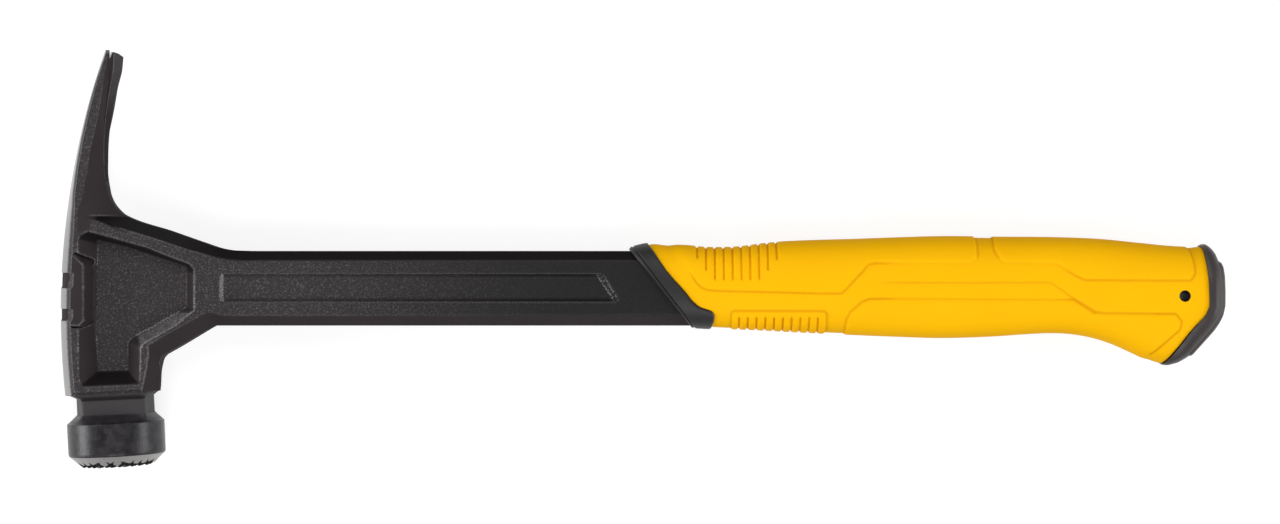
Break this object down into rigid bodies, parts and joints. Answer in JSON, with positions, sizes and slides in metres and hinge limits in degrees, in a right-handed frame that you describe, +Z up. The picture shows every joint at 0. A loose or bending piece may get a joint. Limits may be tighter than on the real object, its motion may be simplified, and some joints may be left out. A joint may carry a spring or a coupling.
{
  "type": "framing hammer",
  "caption": "One-piece steel framing hammer with a milled face, straight rip claw, magnetic nail starter and a soft moulded grip.",
  "frame": {"origin": "under the middle of the hammer's box, on the surface that it lies on", "axes": "+X from the crown of the head to the butt, +Y from the striking face to the claw tips, +Z up, square to the hammer's flat side"},
  "size_m": [0.4059, 0.1452, 0.0335],
  "materials": {
    "forged_steel": "textured black coating with ground bright edges",
    "magnet": "nickel plated",
    "core_plastic": "matte moulded",
    "yellow_grip": "soft moulded, satin",
    "black_trim": "moulded, semi-gloss",
    "black_lining": "matte moulded"
  },
  "bodies": {
    "root": {"forged_body": "forged_steel", "nail_magnet": "magnet", "grip_core": "core_plastic", "grip_sleeve": "yellow_grip", "front_collar": "black_trim", "butt_cap": "black_trim", "tether_bush": "black_lining"}
  },
  "joints": []
}
